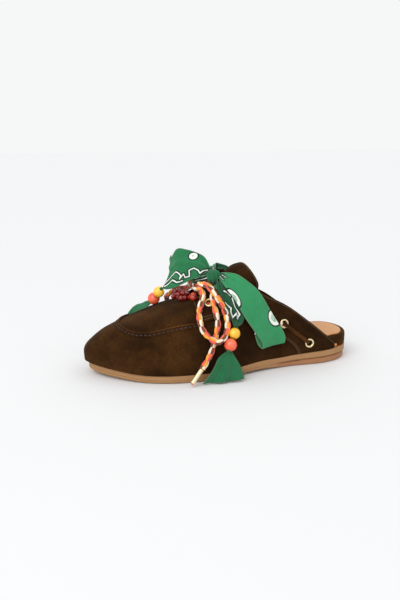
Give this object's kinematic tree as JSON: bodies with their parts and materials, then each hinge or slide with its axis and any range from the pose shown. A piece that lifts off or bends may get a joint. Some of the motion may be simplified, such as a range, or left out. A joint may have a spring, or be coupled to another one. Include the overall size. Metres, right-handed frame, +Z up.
{
  "type": "loafer mule",
  "caption": "Backless moc-toe loafer mule for the left foot, dark suede on a tan rubber sole, with a braided lace bow and a knotted bandana with beads on the tongue.",
  "frame": {"origin": "on the floor under the middle of the heel", "axes": "-Y towards the toe, +X towards the outer side of the left foot, +Z up from the floor"},
  "size_m": [0.1067, 0.2564, 0.1109],
  "materials": {
    "suede": "dark brown suede, matt",
    "sole_rubber": "tan rubber, satin",
    "insole_leather": "smooth tan leather",
    "pale_brass": "pale polished brass",
    "lace_cord": "round braided cord in cream, yellow, coral and brown",
    "aglet_metal": "pale gold, smooth",
    "bandana_cotton": "printed green cotton",
    "yellow_bead": "painted wood, satin",
    "coral_bead": "painted wood, satin",
    "red_bead": "glossy red, slightly clear"
  },
  "bodies": {
    "root": {"aglet_inner": "aglet_metal", "aglet_outer": "aglet_metal", "apron_seam": "suede", "back_panel_inner": "suede", "back_panel_outer": "suede", "bandana_band": "bandana_cotton", "bandana_knot": "bandana_cotton", "bandana_loop_inner": "bandana_cotton", "bandana_loop_outer": "bandana_cotton", "bandana_tail_end_inner": "bandana_cotton", "bandana_tail_end_outer": "bandana_cotton", "bandana_tail_inner": "bandana_cotton", "bandana_tail_outer": "bandana_cotton", "bead_coral_inner": "coral_bead", "bead_coral_outer": "coral_bead", "bead_red_back": "red_bead", "bead_red_front": "red_bead", "bead_red_top": "red_bead", "bead_yellow_inner": "yellow_bead", "bead_yellow_outer": "yellow_bead", "eyelet_lower_inner": "pale_brass", "eyelet_lower_outer": "pale_brass", "eyelet_strap_back_inner": "pale_brass", "eyelet_strap_back_outer": "pale_brass", "eyelet_strap_front_inner": "pale_brass", "eyelet_strap_front_outer": "pale_brass", "eyelet_upper_inner": "pale_brass", "eyelet_upper_outer": "pale_brass", "facing_inner": "suede", "facing_outer": "suede", "footbed": "suede", "insole": "insole_leather", "lace_bar": "lace_cord", "lace_end_inner": "lace_cord", "lace_end_outer": "lace_cord", "lace_knot": "lace_cord", "lace_loop_inner": "lace_cord", "lace_loop_outer": "lace_cord", "outsole": "sole_rubber", "thong_inner": "suede", "thong_outer": "suede", "tongue": "suede", "upper": "suede"}
  },
  "joints": []
}
